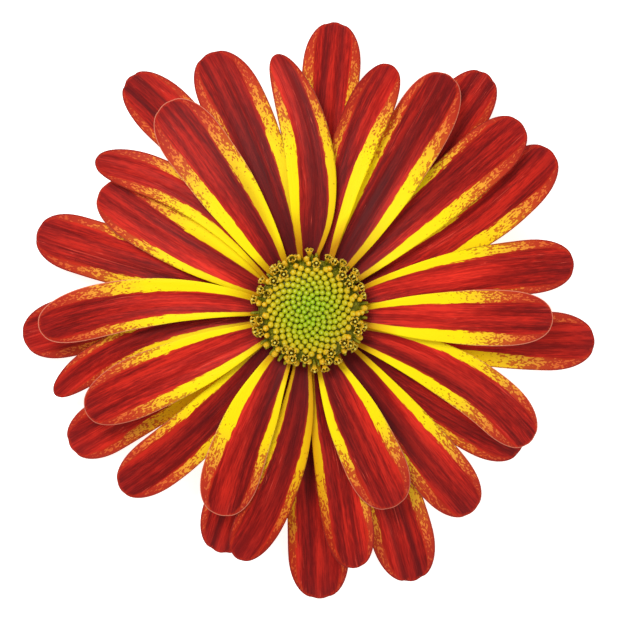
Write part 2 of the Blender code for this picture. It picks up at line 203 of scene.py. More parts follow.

# disc
DOME_TOP = ((6.6, 14.0), (6.1, 14.65), (4.6, 15.35), (2.4, 15.85), (0.0, 16.0))     # radius, height
CORE_PROFILE = ((0.0, 13.1), (6.2, 13.1), (6.5, 13.5), (6.6, 14.0), (6.4, 14.4), (6.1, 14.65), (5.4, 15.0),
                (4.6, 15.35), (3.5, 15.62), (2.4, 15.85), (1.2, 15.96), (0.0, 16.0))
CORE_SIDES = 64
CORE_SHADE_LEVEL = 0.12           # painted shade of the gaps between florets
GOLDEN_ANGLE = math.pi * (3.0 - math.sqrt(5.0))
DISC_SEED = 7
BUD_FIELD = 5.6             # radius of the patch of closed buds
BUD_SPACING = (0.62, 0.86)  # between buds, at the axis and at the edge of the field
BUD_PACKING = 0.866         # area of a bud's place, as a share of its spacing squared
BUD_RADIUS = 0.53           # share of the spacing
BUD_LEAN = 6.0              # degrees outward for each millimetre from the axis
BUD_JITTER = 0.05
BUD_AROUND = 15
BUD_RINGS = ((0.62, -0.30), (0.80, 0.05), (0.98, 0.34), (0.96, 0.60), (0.74, 0.84), (0.42, 0.97))
ABOVE_DOME = 0.02
# count, radius on the dome, lean outward, height, share that is still shut
OPEN_ROUNDS = ((23, 5.95, 12.0, 1.05, 0.45), (27, 6.35, 36.0, 1.30, 0.35), (25, 6.45, 60.0, 1.45, 0.30))
OPEN_AROUND = 20
OPEN_STEM = 0.27
OPEN_MOUTH = (0.46, 0.58)
OPEN_OUT, OPEN_LEAN, OPEN_HEIGHT = (-0.20, 0.12), (-11.0, 11.0), (0.82, 1.12)   # how far each may differ
ROUND_STEP = (-0.3, 0.3)    # the same for its bearing, as a share of the step to the next one
SHUT_RADIUS, SHUT_HEIGHT, SHUT_LOBES, SHUT_DIMPLE = (0.36, 0.44), 0.8, 0.12, 0.10
# share of the stem's radius and of the mouth's, height, level for the colour, spread of the lobes
OPEN_RINGS = ((1.0, 0.0, -0.45, 0.0, 0.0), (0.92, 0.0, 0.20, 0.15, 0.0), (1.05, 0.0, 0.55, 0.45, 0.0),
              (0.0, 0.76, 0.82, 0.75, 0.16), (0.0, 1.0, 1.0, 1.0, 0.32), (0.0, 0.80, 0.96, 0.95, 0.22),
              (0.0, 0.62, 0.80, -0.1, 0.08), (0.75, 0.0, 0.55, -0.8, 0.0), (0.4, 0.0, 0.35, -1.0, 0.0))
STYLE_SHARE = 0.6           # of the open florets have such a column in their mouth
STYLE_RADIUS, STYLE_HEIGHT = 0.09, 1.08
STYLE_AROUND = 8
STYLE_RINGS = ((1.0, 0.1), (1.0, 0.8), (1.8, 0.98), (1.2, 1.06))
# green tubes under the open rounds: count, radius, lean, length, height of their feet
FRINGE = (44, 6.30, 76.0, 1.35, 13.95)
FRINGE_RADIUS, FRINGE_LOBES, FRINGE_DIMPLE = 0.24, 0.1, 0.2
FRINGE_LEAN, FRINGE_LENGTH = (-10.0, 14.0), (0.8, 1.1)
FRINGE_LEVEL = 0.52         # dulls their colour with the painted shade of the gaps
# the disc's colour follows the distance from the axis, and these forms are given one of their own
SHUT_PLACE, OPEN_PLACE, STYLE_PLACE, FRINGE_PLACE = 7.0, 7.4, 7.8, 5.0
DISC_COLOUR_REACH = 8.0

# receptacle, cup and stub
SEAT_PROFILE = ((0.0, 8.6), (5.9, 8.6), (6.4, 8.8), (6.7, 9.3), (6.7, 12.4), (6.5, 12.9), (6.1, 13.1),
                (0.0, 13.1))
SEAT_SIDES = 96
CUP_PROFILE = ((0.0, 2.9), (2.2, 2.9), (2.25, 3.4), (2.6, 4.0), (3.4, 4.6), (4.2, 5.2), (5.0, 6.0),
               (5.7, 6.9), (6.0, 7.6), (6.1, 8.1), (5.9, 8.3), (0.0, 8.3))
CUP_SIDES = 72
CUP_WALL = ((2.6, 4.0), (4.2, 5.2), (5.7, 6.9), (6.1, 8.1))     # bears the bracts
# count, where a bract starts and ends on the wall, width, how far its tip stands off, first bearing
BRACT_ROUNDS = ((9, 0.03, 0.58, 2.2, 0.85, 3.1), (11, 0.22, 0.80, 2.4, 1.05, 14.7),
                (13, 0.42, 0.99, 2.5, 1.30, 7.3))
BRACT_SEED = 21
BRACT_ALONG, BRACT_ACROSS = 14, 9
BRACT_STEP, BRACT_STAND, BRACT_CHANCE = (-0.06, 0.06), (0.85, 1.0), (0.2, 0.6)     # how far each may differ
BRACT_FOOT = 0.02           # how far its foot stands off the wall
BRACT_WRAP = 0.22           # how far its sides bend to the wall
BRACT_ABOVE, BRACT_BELOW = 0.14, -0.10
RIDGE_HEIGHT, RIDGE_WIDTH = 0.07, 0.16
STUB_AROUND, STUB_RIBS = 72, 9
STUB_RIB_DEPTH = 0.028      # share of the radius
STUB_LEVELS = ((2.02, 0.0), (2.10, 0.06), (2.12, 0.5), (2.10, 1.4), (2.12, 2.4), (2.25, 3.1), (2.45, 3.7))
CUT_RINGS = 5
CUT_RELIEF = 0.03
CUT_MIDDLE = 0.05

# camera and light
PIXEL = 0.13                # one pixel of the square picture, on the flower
PICTURE = 620
CAMERA_HEIGHT = 1500.0      # above the plane that PIXEL holds for
PICTURE_PLANE = 7.0         # height of that plane
SENSOR = 36.0
FLOOR_HALF = 6.0            # metres
FLOOR_GLOW = 0.80
SKY_STRENGTH = 0.46
# name, place and size in metres, watts
LAMPS = (("key", (-0.45, 0.55, 1.25), 0.6, 13.0), ("fill", (0.7, -0.5, 1.1), 1.0, 4.0))


def srgb(red, green, blue):
    """A display colour, 0 to 255, as scene light."""
    out = []
    for c in (red, green, blue):
        c /= 255.0
        out.append(c / 12.92 if c <= 0.04045 else ((c + 0.055) / 1.055) ** 2.4)
    return (*out, 1.0)


# colours of the blade, and how strongly each covers what lies under it: painted light for the lit lane,
# painted shade for the shaded lane and the furrows, painted highlight for the glints and the rim
RED_STOPS = ((0.41, srgb(110, 13, 9)), (0.50, srgb(156, 23, 16)), (0.59, srgb(206, 38, 24)))
PAINTED_LIGHT_STOPS = ((0.42, srgb(206, 26, 16)), (0.58, srgb(252, 56, 38)))
SHADE_RED, TIP_RED, FURROW_SHADE_RED = srgb(78, 9, 12), srgb(116, 20, 22), srgb(78, 12, 16)
GLINT_RED, HALO_RED, OUTLINE_RED = srgb(236, 84, 66), srgb(208, 50, 16), srgb(124, 22, 14)
RIM_HIGHLIGHT, UNDERSIDE = srgb(246, 160, 126), srgb(196, 122, 60)
PAINTED_LIGHT_COVER, SHADE_COVER, TIP_COVER, FURROW_SHADE_COVER, GLINT_COVER = 0.62, 0.9, 0.45, 0.8, 0.5
RIM_HIGHLIGHT_COVER, UNDER_COVER, UNDER_TINT = 0.75, 0.7, 0.55

# colours of the margin from root to tip (its darker amber at the root is painted shade near the disc), and of
# the specks in it
YELLOW_STOPS = ((0.0, srgb(202, 138, 0)), (0.06, srgb(232, 186, 0)), (0.15, srgb(252, 228, 0)),
                (0.48, srgb(252, 224, 4)), (0.60, srgb(246, 200, 30)), (0.70, srgb(236, 156, 48)),
                (0.80, srgb(222, 104, 46)), (1.0, srgb(180, 38, 32)))
SPECK_STOPS = ((0.28, srgb(160, 122, 0)), (0.44, srgb(176, 96, 8)), (0.58, srgb(188, 62, 22)),
               (0.76, srgb(182, 36, 24)), (1.0, srgb(154, 24, 22)))
# painted shade on a margin's shaded side, and on it where the blade is shaded
SIDE_SHADE_TINT, SHADE_YELLOW = srgb(216, 150, 90), srgb(196, 132, 0)
SIDE_SHADE_COVER, SHADE_YELLOW_COVER = 0.9, 0.6

# grain of the blade: cells in a millimetre along and across it, offset, detail
STREAK = (0.07, 1.0, 0.0, 3.0)
VEIN = (0.13, 4.6, 5.3, 2.0)
JAG = (0.20, 2.6, 11.7, 3.0)
SPECK = (2.4, 4.8, 17.1, 1.0)
FIBRE = (0.8, 6.0, 23.9, 2.0)
PATCH = (0.7, 1.3, 41.3, 2.0)
GLINT_LINE = (0.045, 2.4, 31.0, 1.0)
GLINT_PLACE = (0.12, 0.5, 37.0, 0.0)

DISC_STOPS = ((0.0, srgb(136, 178, 12)), (0.22, srgb(152, 184, 10)), (0.42, srgb(174, 182, 8)),
              (0.60, srgb(204, 180, 12)), (0.75, srgb(226, 178, 18)), (1.0, srgb(228, 168, 22)))
# painted shade for the gaps between florets and for the throats of open ones
DISC_OLIVE, DISC_GAP_SHADE, DISC_THROAT_SHADE = srgb(168, 150, 6), srgb(72, 84, 0), srgb(92, 60, 4)
# a painted highlight on the tops of the buds, and pollen
DISC_HIGHLIGHT, DISC_POLLEN = srgb(226, 232, 120), srgb(226, 214, 70)

LEAF_STOPS = ((0.35, srgb(74, 104, 34)), (0.5, srgb(100, 132, 48)), (0.65, srgb(134, 158, 72)))
LEAF_DOWN, LEAF_EDGE, LEAF_TIP, LEAF_DARK = (srgb(170, 186, 110), srgb(150, 122, 70), srgb(120, 84, 50),
                                             srgb(84, 112, 40))
CUT_STOPS = ((0.0, srgb(226, 226, 190)), (0.6, srgb(206, 214, 156)), (0.75, srgb(150, 172, 90)),
             (1.0, srgb(104, 134, 54)))
CUT_GRAIN = srgb(186, 178, 120)
SEAT_STOPS = ((0.4, srgb(120, 130, 40)), (0.6, srgb(168, 170, 70)))
WHITE, FLOOR_GREY = (1.0, 1.0, 1.0, 1.0), (0.86, 0.86, 0.86, 1.0)


class Nodes:
    """A material under construction: short names for the nodes that the flower's materials use."""

    def __init__(self, name):
        self.material = bpy.data.materials.new(name)
        self.material.use_nodes = True
        self.tree = self.material.node_tree
        self.shader = self.tree.nodes["Principled BSDF"]

    def put(self, socket, value):
        if hasattr(value, "is_linked"):
            self.tree.links.new(value, socket)
        elif value is not None:
            socket.default_value = value

    def math(self, operation, a, b=None):
        node = self.tree.nodes.new("ShaderNodeMath")
        node.operation = operation
        self.put(node.inputs[0], a)
        self.put(node.inputs[1], b)
        return node.outputs[0]

    def add(self, a, b):
        return self.math("ADD", a, b)

    def sub(self, a, b):
        return self.math("SUBTRACT", a, b)

    def mul(self, a, b):
        return self.math("MULTIPLY", a, b)

    def attribute(self, name):
        node = self.tree.nodes.new("ShaderNodeAttribute")
        node.attribute_name = name
        parts = self.tree.nodes.new("ShaderNodeSeparateXYZ")
        self.tree.links.new(node.outputs["Vector"], parts.inputs[0])
        return parts.outputs

    def vector(self, x, y, z):
        node = self.tree.nodes.new("ShaderNodeCombineXYZ")
        for socket, value in zip(node.inputs, (x, y, z)):
            self.put(socket, value)
        return node.outputs[0]

    def noise(self, vector, scale=1.0, detail=2.0):
        node = self.tree.nodes.new("ShaderNodeTexNoise")
        node.inputs["Scale"].default_value = scale
        node.inputs["Detail"].default_value = detail
        self.put(node.inputs["Vector"], vector)
        return node.outputs["Fac"]

    def grain(self, scale, detail):
        """Noise through the body of a piece."""
        return self.noise(self.tree.nodes.new("ShaderNodeTexCoord").outputs["Object"], scale, detail)

    def steps(self, value, low, high, start=0.0, end=1.0):
        """A smooth step from start at low to end at high."""
        node = self.tree.nodes.new("ShaderNodeMapRange")
        node.interpolation_type = "SMOOTHSTEP"
        for socket, number in zip(("Value", "From Min", "From Max", "To Min", "To Max"),
                                  (value, low, high, start, end)):
            self.put(node.inputs[socket], number)
        return node.outputs["Result"]

    def mix(self, share, a, b, blend="MIX"):
        node = self.tree.nodes.new("ShaderNodeMix")
        node.data_type, node.blend_type = "RGBA", blend
        node.clamp_factor = True
        self.put(node.inputs["Factor"], share)
        self.put(node.inputs[6], a)
        self.put(node.inputs[7], b)
        return node.outputs[2]

    def ramp(self, value, stops):
        node = self.tree.nodes.new("ShaderNodeValToRGB")
        band = node.color_ramp
        while len(band.elements) < len(stops):
            band.elements.new(0.5)
        for element, (place, colour) in zip(band.elements, stops):
            element.position, element.color = place, colour
        self.put(node.inputs[0], value)
        return node.outputs["Color"]

    def finish(self, colour, roughness, specular, height=None, depth=0.0, strength=0.0):
        """Fill the shader. The height is a bump, its depth in metres."""
        self.put(self.shader.inputs["Base Color"], colour)
        self.put(self.shader.inputs["Roughness"], roughness)
        self.shader.inputs["Specular IOR Level"].default_value = specular
        if height is not None:
            bump = self.tree.nodes.new("ShaderNodeBump")
            bump.inputs["Strength"].default_value = strength
            bump.inputs["Distance"].default_value = depth
            self.put(bump.inputs["Height"], height)
            self.put(self.shader.inputs["Normal"], bump.outputs[0])
        return self.material


def ray_material():
    """Crimson blade with yellow margins that break into red specks towards the tip."""
    n = Nodes("ray_petal")
    run, aside, seed = n.attribute("ray_place")
    edge, width, late = n.attribute("ray_edge")
    # painted shade in the furrows, painted shade that browns a margin's side, the underside; then painted
    # light, painted shade and the rim's painted highlight
    groove, brown, under = n.attribute("ray_tone")
    bright, shade, rim = n.attribute("ray_light_and_shade")

    def grain(along, across, offset, detail):
        return n.noise(n.vector(n.mul(run, along), n.mul(aside, across), n.add(seed, offset)), detail=detail)

    streak, vein, jag = grain(*STREAK), grain(*VEIN), grain(*JAG)
    speck, fibre, patch = grain(*SPECK), grain(*FIBRE), grain(*PATCH)

    # blade: streaks and veins, a lane of painted light and one of painted shade, a darker tip, painted shade
    # in the furrows, a few painted highlight lines
    tone = n.add(n.mul(streak, 0.48), n.mul(vein, 0.26))
    tone = n.add(tone, n.mul(fibre, 0.26))
    red = n.ramp(tone, RED_STOPS)
    red = n.mix(n.mul(bright, PAINTED_LIGHT_COVER), red, n.ramp(tone, PAINTED_LIGHT_STOPS))
    red = n.mix(n.mul(shade, SHADE_COVER), red, SHADE_RED)
    red = n.mix(n.steps(late, 0.80, 1.0, 0.0, TIP_COVER), red, TIP_RED)
    red = n.mix(n.mul(groove, FURROW_SHADE_COVER), red, FURROW_SHADE_RED)
    line = n.math("ABSOLUTE", n.sub(grain(*GLINT_LINE), 0.5))
    place = n.steps(grain(*GLINT_PLACE), 0.54, 0.62)
    glint = n.mul(n.steps(line, 0.008, 0.0), place)
    red = n.mix(n.mul(glint, GLINT_COVER), red, GLINT_RED)

    # the margin's inner border, more ragged towards the tip
    shaky = n.add(n.mul(n.sub(jag, 0.5), 0.9), n.mul(n.sub(fibre, 0.5), 1.1))
    shaky = n.mul(shaky, n.steps(late, 0.15, 0.65, 0.10, 0.75))
    border = n.add(n.sub(edge, width), shaky)

    # its specks, denser towards the tip and towards the outer edge
    sparse = n.steps(late, 0.22, 0.86, 0.69, 0.44)
    outer = n.steps(n.math("DIVIDE", edge, n.math("MAXIMUM", width, 0.2)), 0.55, 0.0)
    outer = n.mul(outer, n.steps(late, 0.22, 0.55, 0.0, 0.09))
    spot = n.add(n.mul(speck, 0.62), n.mul(patch, 0.38))
    spots = n.steps(n.sub(spot, n.sub(sparse, outer)), -0.01, 0.04)
    spots = n.mul(spots, n.steps(late, 0.3, 0.7, 0.6, 0.85))
    margin = n.mix(spots, n.ramp(late, YELLOW_STOPS), n.ramp(late, SPECK_STOPS))
    # painted shade: amber-brown on a margin's shaded side, and deeper amber where the blade is shaded
    margin = n.mix(n.mul(brown, SIDE_SHADE_COVER), margin, n.mix(1.0, margin, SIDE_SHADE_TINT, "MULTIPLY"))
    margin = n.mix(n.mul(n.steps(shade, 0.45, 1.0), SHADE_YELLOW_COVER), margin, SHADE_YELLOW)

    # blade and margin together, then the dark outline or the rim's painted highlight, and the paler underside
    halo = n.mul(n.steps(border, 0.34, 0.04), n.steps(late, 0.12, 0.35, 0.1, 0.5))
    red = n.mix(halo, red, HALO_RED)
    colour = n.mix(n.steps(border, 0.06, -0.06), red, margin)
    outline = n.mul(n.steps(edge, 0.20, 0.05), n.steps(late, 0.30, 0.60, 0.0, 0.7))
    colour = n.mix(n.mul(outline, n.sub(1.0, rim)), colour, OUTLINE_RED)
    # painted highlight along the rim
    light = n.mul(n.steps(edge, 0.13, 0.05), n.steps(late, 0.35, 0.65))
    colour = n.mix(n.mul(light, n.mul(rim, RIM_HIGHLIGHT_COVER)), colour, RIM_HIGHLIGHT)
    colour = n.mix(n.mul(under, UNDER_COVER), colour, n.mix(UNDER_TINT, colour, UNDERSIDE))
    height = n.add(vein, n.mul(fibre, 0.5))
    return n.finish(colour, 0.5, 0.10, height, 0.00006, 0.5)


def smooth_mesh(name, points, faces, attributes=()):
    """A mesh object from points in millimetres, with vectors for its material at each point."""
    mesh = bpy.data.meshes.new(name)
    mesh.from_pydata((np.asarray(points) * MM).tolist(), [], faces)
    mesh.validate()
    for key, values in attributes:
        mesh.attributes.new(key, "FLOAT_VECTOR", "POINT").data.foreach_set("vector", np.ravel(values))
    mesh.polygons.foreach_set("use_smooth", [True] * len(mesh.polygons))
    mesh.update()
    thing = bpy.data.objects.new(name, mesh)
    bpy.context.scene.collection.objects.link(thing)
    return thing


def hump_pair(x, place, width):
    """A smooth rise to 1 on both sides of the middle."""
    return np.exp(-((x - place) / width) ** 2) + np.exp(-((x + place) / width) ** 2)


def waves(rng, x, count, least, most):
    """A gentle random wave of height about 1 along x, each part at a random pace and phase."""
    total = np.zeros_like(x)
    for _ in range(count):
        total += np.sin(x * rng.uniform(least, most) + rng.uniform(0, 6.28)) * rng.uniform(0.5, 1.0)
    return total / count


def triples(a, b, c):
    """One row of three values for each point of a grid."""
    return np.stack(np.broadcast_arrays(a, b, c), -1).reshape(-1, 3)


def shell_faces(along, across, mirrored=False):
    """Faces of a closed sheet: a grid of upper points, the same of lower ones, and the rim between."""
    count = along * across
    faces = []
    for i in range(along - 1):
        for k in range(across - 1):
            a = i * across + k
            b = a + across
            face = (a, a + 1, b + 1, b) if mirrored else (a, b, b + 1, a + 1)
            faces += [face, [c + count for c in reversed(face)]]
    last = (along - 1) * across
    rim = list(range(across)) + [i * across + across - 1 for i in range(1, along)]
    rim += [last + k for k in range(across - 2, -1, -1)] + [i * across for i in range(along - 2, 0, -1)]
    for a, b in zip(rim, rim[1:] + rim[:1]):
        faces.append((b, a, a + count, b + count) if mirrored else (a, b, b + count, a + count))
    return faces


class Course:
    """The middle line of a ray seen from above: one curve from its root to its tip."""

    def __init__(self, ray):
        root, tip = math.radians(ray.root_deg), math.radians(ray.tip_deg)
        self.x0, self.y0 = ROOT_RADIUS * math.cos(root), ROOT_RADIUS * math.sin(root)
        self.x2, self.y2 = ray.reach * math.cos(tip), ray.reach * math.sin(tip)
        self.span = math.hypot(self.x2 - self.x0, self.y2 - self.y0)
        self.x1 = (self.x0 + self.x2) / 2 - (self.y2 - self.y0) / self.span * ray.bow * 2
        self.y1 = (self.y0 + self.y2) / 2 + (self.x2 - self.x0) / self.span * ray.bow * 2

    def beside(self, t, aside):
        """Points at t along the line and aside to its left."""
        x = (1 - t) ** 2 * self.x0 + 2 * t * (1 - t) * self.x1 + t * t * self.x2
        y = (1 - t) ** 2 * self.y0 + 2 * t * (1 - t) * self.y1 + t * t * self.y2
        along_x = (1 - t) * (self.x1 - self.x0) + t * (self.x2 - self.x1)
        along_y = (1 - t) * (self.y1 - self.y0) + t * (self.y2 - self.y1)
        size = np.hypot(along_x, along_y)
        return x - along_y / size * aside, y + along_x / size * aside


def body_width(t, broad):
    """Share of the full width at t, before the tip is rounded off."""
    u = np.minimum(t / broad, 1.0)
    return ROOT_WIDTH + (1.0 - ROOT_WIDTH) * (1.0 - (1.0 - u) ** 2)


def column_ends(side, ray, groove, span):
    """Share of the length at which each column of a blade ends: a round tip with two shallow notches."""
    end = ray.broad + (TIP_REACH - ray.broad) * (1.0 - np.abs(side) ** TIP_POWER) ** (1.0 / TIP_POWER)
    notch = (NOTCH_LEAST + NOTCH_MORE * groove) / span
    return end - notch * hump_pair(side, NOTCH_ASIDE, NOTCH_WIDTH)


def blade_underside(ray, across, free, lateral):
    """Height of the lower face, which is that of the solid."""
    bend = np.minimum(free, 1.0)
    middle = ray.root_z + (ray.tip_z - ray.root_z) * bend ** ARCH_POWER + ARCH * np.sin(math.pi * bend)
    tilt = math.tan(math.radians(ray.roll)) * np.minimum(1.0, free / ROLL_FULL)
    lift = MARGIN_LIFT * np.sin(math.pi * np.minimum(1.0, free + LIFT_AHEAD))
    return middle + lateral * tilt + across ** 2 * lift - SOLID_HALF


def blade_thickness(rows, across, free, furrow, groove, rng):
    """Thickness of the blade, thin at its edge and tip, with furrows and ripples in its upper face."""
    swell = np.sin(math.pi * np.clip(free * 1.02, 0.0, 1.0)) ** 0.5
    depth = (FURROW_LEAST + FURROW_MORE * groove) * np.clip(free * FURROW_IN, 0.0, 1.0)
    ripple = waves(rng, across * RIPPLE_ACROSS + free * RIPPLE_ALONG, *RIPPLE_WAVES) * RIPPLE * swell
    relief = -furrow * depth + ripple
    thick = EDGE_THICK + (BLADE_THICK - EDGE_THICK) * (1.0 - across ** 4) ** 0.5
    thick = thick * (1.0 - THIN_SHARE * np.clip((rows[:, None] - THIN_FROM) / THIN_OVER, 0.0, 1.0) ** 2)
    return thick, np.maximum(relief, -thick * DEEPEST_RELIEF)


def edge_distance(x, y):
    """Distance from each point of a grid to its border, seen from above."""
    def border(grid):
        return np.concatenate([grid[:, 0], grid[-1, 1:], grid[-2::-1, -1], grid[0, -2:0:-1]])

    ring_x, ring_y = border(x), border(y)
    ax, ay = ring_x[:, None], ring_y[:, None]
    bx, by = np.roll(ring_x, -1)[:, None] - ax, np.roll(ring_y, -1)[:, None] - ay
    px, py = x.ravel()[None, :] - ax, y.ravel()[None, :] - ay
    share = np.clip((px * bx + py * by) / np.maximum(bx * bx + by * by, 1e-9), 0.0, 1.0)
    return np.sqrt(((px - share * bx) ** 2 + (py - share * by) ** 2).min(axis=0)).reshape(x.shape)


def margin_looks(margins, across, free):
    """Width of the margin, how far its reddening has come, and the painted shade that browns it, at each
    point.
    """
    width = np.where(across < 0, margins.right, margins.left) * np.interp(free, *zip(*MARGIN_RUN))
    off_middle = np.abs(across) - MARGIN_FREE * np.clip(free * 2 - 0.9, 0.0, 1.0)
    width = width * np.clip(off_middle / MARGIN_FADE, 0.0, 1.0)
    late = free - margins.left_late * (1.0 + across) / 2 - margins.right_late * (1.0 - across) / 2
    return width, late, np.where(across < 0, margins.right_brown, margins.left_brown) * np.abs(across)


def lane_looks(lanes, across, free):
    """Strength of the lane of painted light and of the painted shade, with that at the base, at each point.
    """
    bright = lanes.bright * np.exp(-((across - lanes.bright_side) / PAINTED_LIGHT_WIDTH) ** 2
                                   - ((free - lanes.bright_run) / PAINTED_LIGHT_LENGTH) ** 2)
    shade = lanes.shade * np.exp(-((across - lanes.shade_side) / SHADE_WIDTH) ** 2)
    shade = shade * np.clip(SHADE_START - SHADE_FALL * free, 0.0, 1.0)
    base = BASE_SHADE * np.clip(BASE_START - free / lanes.base, 0.0, 1.0) ** BASE_POWER
    return bright, np.maximum(shade, base)


def build_ray(number, name, material):
    ray, margins, lanes = Ray(*RAYS[name]), Margins(*MARGINS[name]), Lanes(*LANES[name])
    rng = np.random.default_rng(RAY_SEED + number)
    course = Course(ray)
    span = course.span

    side = np.sin(np.linspace(-1.0, 1.0, ACROSS) * math.pi / 2)
    rows = 1.0 - (1.0 - np.linspace(0.0, 1.0, ALONG)) ** ROW_CROWDING
    start = -ROOT_SUNK / span
    t = start + rows[:, None] * (column_ends(side, ray, lanes.groove, span)[None, :] - start)
    across, free = side[None, :], np.maximum(t, 0.0)
    half = body_width(free, ray.broad) * ray.width / 2
    wobble = waves(rng, free * span, *WOBBLE_WAVES) * WOBBLE * np.sign(across) * np.abs(across) ** 3
    lateral = across * half + wobble * np.minimum(1.0, free * WOBBLE_IN)
    shift = ray.shift * np.maximum(0.0, (t - SHIFT_FROM) / (1 - SHIFT_FROM)) ** 2
    x, y = course.beside(t, shift + lateral)

    furrow = hump_pair(across, FURROW_ASIDE, FURROW_WIDTH)
    low = blade_underside(ray, across, free, lateral)
    thick, relief = blade_thickness(rows, across, free, furrow, lanes.groove, rng)
    high = low + thick + relief

    run = free * span
    edge = edge_distance(x, y)
    edge = np.where(run < ROOT_STRETCH, np.maximum(edge, (1.0 - np.abs(across)) * half), edge)
    width, late, brown = margin_looks(margins, across, free)
    bright, shade = lane_looks(lanes, across, free)
    # painted shade in the furrows towards the tip; it and the margins' painted shade go to the upper face
    dark = furrow * lanes.groove * np.clip((free - FURROW_SHADE_FROM) / FURROW_SHADE_OVER, 0.0, 1.0)
    place = triples(run, lateral, number * GRAIN_STEP)
    edges = triples(edge, width, late)
    upper, lower = triples(dark, brown, 0.0), triples(run * 0.0, 0.0, 1.0)
    light_and_shade = triples(bright, shade, lanes.rim)

    points = np.concatenate([triples(x, y, high), triples(x, y, low)])
    ray = smooth_mesh("ray_" + name, points, shell_faces(ALONG, ACROSS), (
        ("ray_place", np.concatenate([place, place])), ("ray_edge", np.concatenate([edges, edges])),
        ("ray_tone", np.concatenate([upper, lower])), ("ray_light_and_shade", np.concatenate([light_and_shade, light_and_shade]))))
    ray.data.materials.append(material)
    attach(ray, "root")
    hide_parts("ray_florets")


def turns(count):
    """Bearings that share out a full turn."""
    return [2 * math.pi * k / count for k in range(count)]


def lathe(profile, sides):
    """Points and faces of a profile of (radius, height) turned about Z, from axis to axis."""
    points, rings, faces = [], [], []
    for radius, height in profile:
        if radius == 0.0:
            rings.append([len(points)] * sides)
            points.append((0.0, 0.0, height))
        else:
            rings.append([len(points) + k for k in range(sides)])
            points += [(radius * math.cos(a), radius * math.sin(a), height) for a in turns(sides)]
    for low, high in zip(rings, rings[1:]):
        for k in range(sides):
            face = [low[k], low[(k + 1) % sides], high[(k + 1) % sides], high[k]]
            faces.append([c for i, c in enumerate(face) if c not in face[:i]])
    return points, faces


def ring_faces(rings, around):
    """Faces between rings of points, each ring after the one below it."""
    faces = []
    for i in range(rings - 1):
        for k in range(around):
            n = (k + 1) % around
            faces.append((i * around + k, i * around + n, (i + 1) * around + n, (i + 1) * around + k))
    return faces


def foot_face(around):
    return [list(range(around))[::-1]]


def top_face(rings, around):
    return [[(rings - 1) * around + k for k in range(around)]]


def dome_height(radius):
    radii, heights = zip(*DOME_TOP[::-1])
    return float(np.interp(radius, radii, heights))


def leaning(points, place, turn, lean):
    """Points about their own Z, leant outward and moved to their place."""
    points = np.asarray(points, float)
    side, ahead, height = points[:, 1], points[:, 0], points[:, 2]
    out = ahead * math.cos(lean) + height * math.sin(lean)
    up = height * math.cos(lean) - ahead * math.sin(lean)
    return np.stack([place[0] + out * math.cos(turn) - side * math.sin(turn),
                     place[1] + out * math.sin(turn) + side * math.cos(turn), place[2] + up], -1)


class Bunch:
    """Many small closed forms gathered into one mesh."""

    def __init__(self):
        self.points, self.faces, self.place = [], [], []
        self.count = 0

    def add(self, points, faces, place):
        self.points.append(points)
        self.place.append(place)
        self.faces += [[c + self.count for c in face] for face in faces]
        self.count += len(points)

    def set_floret(self, form, spot, turn, angle, out, chance):
        """Add a form of the disc at its spot, with what its colour follows."""
        points, faces, level = form
        where = np.stack([np.full(len(level), out), level, np.full(len(level), chance)], -1)
        self.add(leaning(points, spot, turn, angle), faces, where)

    def build(self, name, attribute):
        return smooth_mesh(name, np.concatenate(self.points), self.faces,
                           ((attribute, np.concatenate(self.place)),))


def bud_form(radius, height, lobes, dimple):
    """A closed bud: a rounded five-lobed knob on a short waist."""
    points, level = [], []
    for r, h in BUD_RINGS:
        for a in turns(BUD_AROUND):
            wave = 1.0 + lobes * math.cos(5 * a) * (0.3 + h)
            points.append((radius * r * wave * math.cos(a), radius * r * wave * math.sin(a), height * h))
            level.append(max(0.0, h))
    points.append((0.0, 0.0, height * (1.0 - dimple)))
    level.append(1.0)
    rings = len(BUD_RINGS)
    top = (rings - 1) * BUD_AROUND
    cap = [(top + k, top + (k + 1) % BUD_AROUND, len(points) - 1) for k in range(BUD_AROUND)]
    return points, foot_face(BUD_AROUND) + ring_faces(rings, BUD_AROUND) + cap, level


def open_form(stem, mouth, height):
    """An open floret: a tube that widens into five pointed lobes round a throat that takes painted shade."""
    points, level = [], []
    for of_stem, of_mouth, h, tone, spread in OPEN_RINGS:
        for a in turns(OPEN_AROUND):
            lobe = abs(math.cos(2.5 * a)) ** 0.8
            wide = (stem * of_stem + mouth * of_mouth) * (1.0 - spread + spread * 2.0 * lobe)
            drop = 0.6 * spread * (lobe - 0.5)
            points.append((wide * math.cos(a), wide * math.sin(a), height * (h - drop)))
            level.append(tone)
    rings = len(OPEN_RINGS)
    faces = foot_face(OPEN_AROUND) + ring_faces(rings, OPEN_AROUND) + top_face(rings, OPEN_AROUND)
    return points, faces, level


def style_form(radius, height):
    """The small column with a spread head that stands in an open floret."""
    points = [(radius * r * math.cos(a), radius * r * math.sin(a), height * h)
              for r, h in STYLE_RINGS for a in turns(STYLE_AROUND)]
    rings = len(STYLE_RINGS)
    faces = foot_face(STYLE_AROUND) + ring_faces(rings, STYLE_AROUND) + top_face(rings, STYLE_AROUND)
    return points, faces, [1.0] * len(points)


